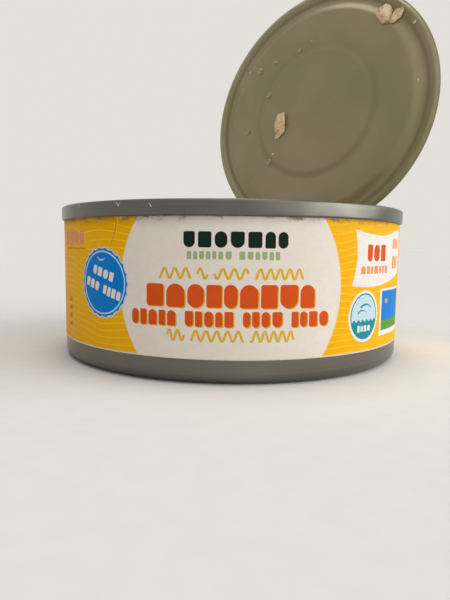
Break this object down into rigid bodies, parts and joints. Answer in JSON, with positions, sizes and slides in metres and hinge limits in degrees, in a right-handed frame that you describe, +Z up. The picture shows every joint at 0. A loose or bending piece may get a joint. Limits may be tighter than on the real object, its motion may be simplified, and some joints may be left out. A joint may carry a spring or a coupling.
{
  "type": "opened tuna can",
  "caption": "Round drawn food can filled with packed tuna, paper wrap round the wall, cut lid standing up on a bent strip behind the rim.",
  "frame": {"origin": "on the floor at the centre of the flat ring that the can stands on", "axes": "+Z up along the can's axis; the front of the label faces -Y; the lid stands at the rear right, between +X and +Y"},
  "size_m": [0.1015, 0.1022, 0.1101],
  "materials": {
    "tinplate": "satin drawn tinplate",
    "end_plate": "satin tinplate with a pale lacquer",
    "lid_plate": "olive-grey food lacquer inside, bare satin plate outside",
    "tab_plate": "bright stamped tinplate",
    "label_paper": "coated printed paper",
    "tuna_meat": "moist cooked fish"
  },
  "bodies": {
    "can": {"can_body": "tinplate", "end_ring": "end_plate", "label": "label_paper", "tuna": "tuna_meat"},
    "lid": {"lid": "lid_plate", "pull_tab": "tab_plate"}
  },
  "joints": [
    {"name": "lid_bend", "type": "hinge", "parent": "can", "child": "lid", "pos_m": [0.02353, 0.0299, 0.03317], "axis": [-0.7859, 0.6184, 0], "range_deg": [-97.5, 5]}
  ]
}
